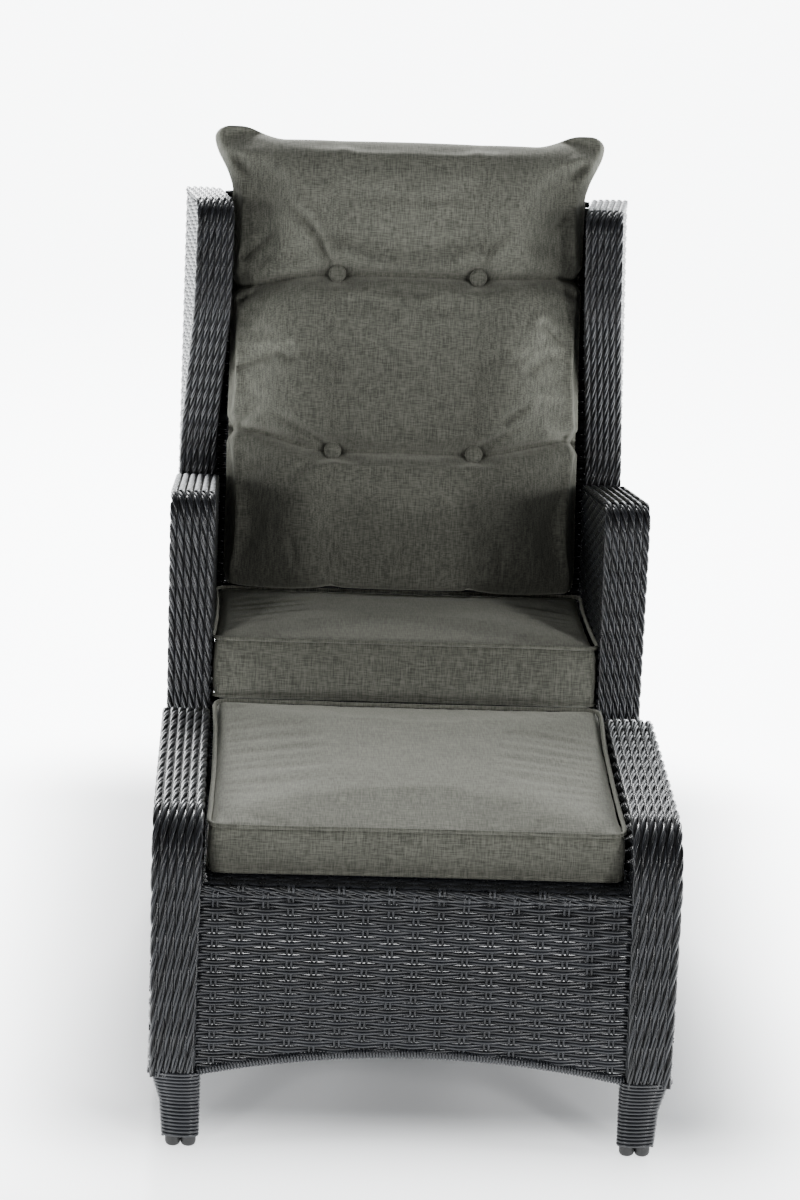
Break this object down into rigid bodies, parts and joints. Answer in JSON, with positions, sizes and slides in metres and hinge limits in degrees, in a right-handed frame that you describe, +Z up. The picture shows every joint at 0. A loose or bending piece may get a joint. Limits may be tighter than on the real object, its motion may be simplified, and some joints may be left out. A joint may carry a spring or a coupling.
{
  "type": "reclining garden armchair",
  "caption": "Woven round-rattan reclining garden armchair with short wings, loose buttoned cushions and a matching footstool; the back leans on a lockable gas spring.",
  "frame": {"origin": "on the floor, in the middle of the chair and its footstool together", "axes": "+Z up, +Y towards the back of the chair, +X to the right as seen from the front"},
  "size_m": [0.6926, 1.3502, 1.1225],
  "materials": {
    "rattan": "satin strand",
    "frame_tube": "powder coated",
    "cushion_cloth": "woven cloth",
    "toe_plastic": "moulded",
    "bush_plastic": "moulded",
    "spring_steel": "ground",
    "spring_black": "painted",
    "lever_metal": "powder coated"
  },
  "bodies": {
    "chair": {"seat_frame": "frame_tube", "seat_front_weave": "rattan", "seat_rear_weave": "rattan", "seat_deck": "rattan", "seat_cushion": "cushion_cloth", "chair_leg_wraps": "rattan", "chair_toe_caps": "toe_plastic", "hinge_bushes": "bush_plastic", "lever_bush": "bush_plastic", "spring_base_pin": "spring_steel", "left_arm_frame": "frame_tube", "left_arm_band": "rattan", "left_arm_outer_weave": "rattan", "left_arm_inner_weave": "rattan", "right_arm_frame": "frame_tube", "right_arm_band": "rattan", "right_arm_outer_weave": "rattan", "right_arm_inner_weave": "rattan"},
    "backrest": {"back_hinge_tube": "frame_tube", "back_mid_bar": "frame_tube", "back_top_bar": "frame_tube", "back_weave": "rattan", "back_top_border": "rattan", "back_cushion": "cushion_cloth", "back_cushion_buttons": "cushion_cloth", "crank_pin": "spring_steel", "left_back_upright": "frame_tube", "left_wing_frame": "frame_tube", "left_wing_band": "rattan", "left_wing_outer_weave": "rattan", "left_wing_inner_weave": "rattan", "right_back_upright": "frame_tube", "right_wing_frame": "frame_tube", "right_wing_band": "rattan", "right_wing_outer_weave": "rattan", "right_wing_inner_weave": "rattan"},
    "spring_rod": {"spring_rod": "spring_steel", "release_head": "spring_black"},
    "spring_cylinder": {"spring_cylinder": "spring_black"},
    "release_pin": {"release_pin": "spring_steel"},
    "release_lever": {"release_shaft": "lever_metal", "release_finger": "lever_metal", "release_lever": "lever_metal"},
    "footstool": {"stool_frame": "frame_tube", "stool_front_weave": "rattan", "stool_rear_weave": "rattan", "stool_deck": "rattan", "stool_cushion": "cushion_cloth", "stool_toe_caps": "toe_plastic", "stool_leg_wraps": "rattan", "stool_leg_windings": "rattan", "left_stool_frame": "frame_tube", "left_stool_band": "rattan", "left_stool_outer_weave": "rattan", "left_stool_inner_weave": "rattan", "right_stool_frame": "frame_tube", "right_stool_band": "rattan", "right_stool_outer_weave": "rattan", "right_stool_inner_weave": "rattan"}
  },
  "joints": [
    {"name": "back_recline", "type": "hinge", "parent": "chair", "child": "backrest", "pos_m": [0, 0.44, 0.385], "axis": [-1, 0, 0], "range_deg": [0, 35]},
    {"name": "spring_swing", "type": "hinge", "parent": "chair", "child": "spring_rod", "pos_m": [0, 0.1, 0.318], "axis": [1, 0, 0], "range_deg": [-0.2, 1.3]},
    {"name": "cylinder_slide", "type": "slide", "parent": "spring_rod", "child": "spring_cylinder", "axis": [0, -0.9999, 0.0109], "range_m": [-0.0005, 0.0425]},
    {"name": "lever_lift", "type": "hinge", "parent": "chair", "child": "release_lever", "pos_m": [0, 0.0747, 0.343], "axis": [1, 0, 0], "range_deg": [0, 10], "stiffness_Nm_per_rad": 0.6, "springref_deg": -5.73},
    {"name": "pin_press", "type": "slide", "parent": "spring_rod", "child": "release_pin", "axis": [0, 0.9999, -0.0109], "range_m": [0, 0.0046]},
    {"name": "footstool_slide", "type": "slide", "parent": "chair", "child": "footstool", "axis": [0, -1, 0], "range_m": [-0.03, 0.3]}
  ],
  "couplings": [
    {"joint": "spring_swing", "follows": "back_recline", "ratio": 0.0305},
    {"joint": "cylinder_slide", "follows": "back_recline", "m_per_rad": 0.068076},
    {"joint": "pin_press", "follows": "lever_lift", "m_per_rad": 0.0255}
  ]
}
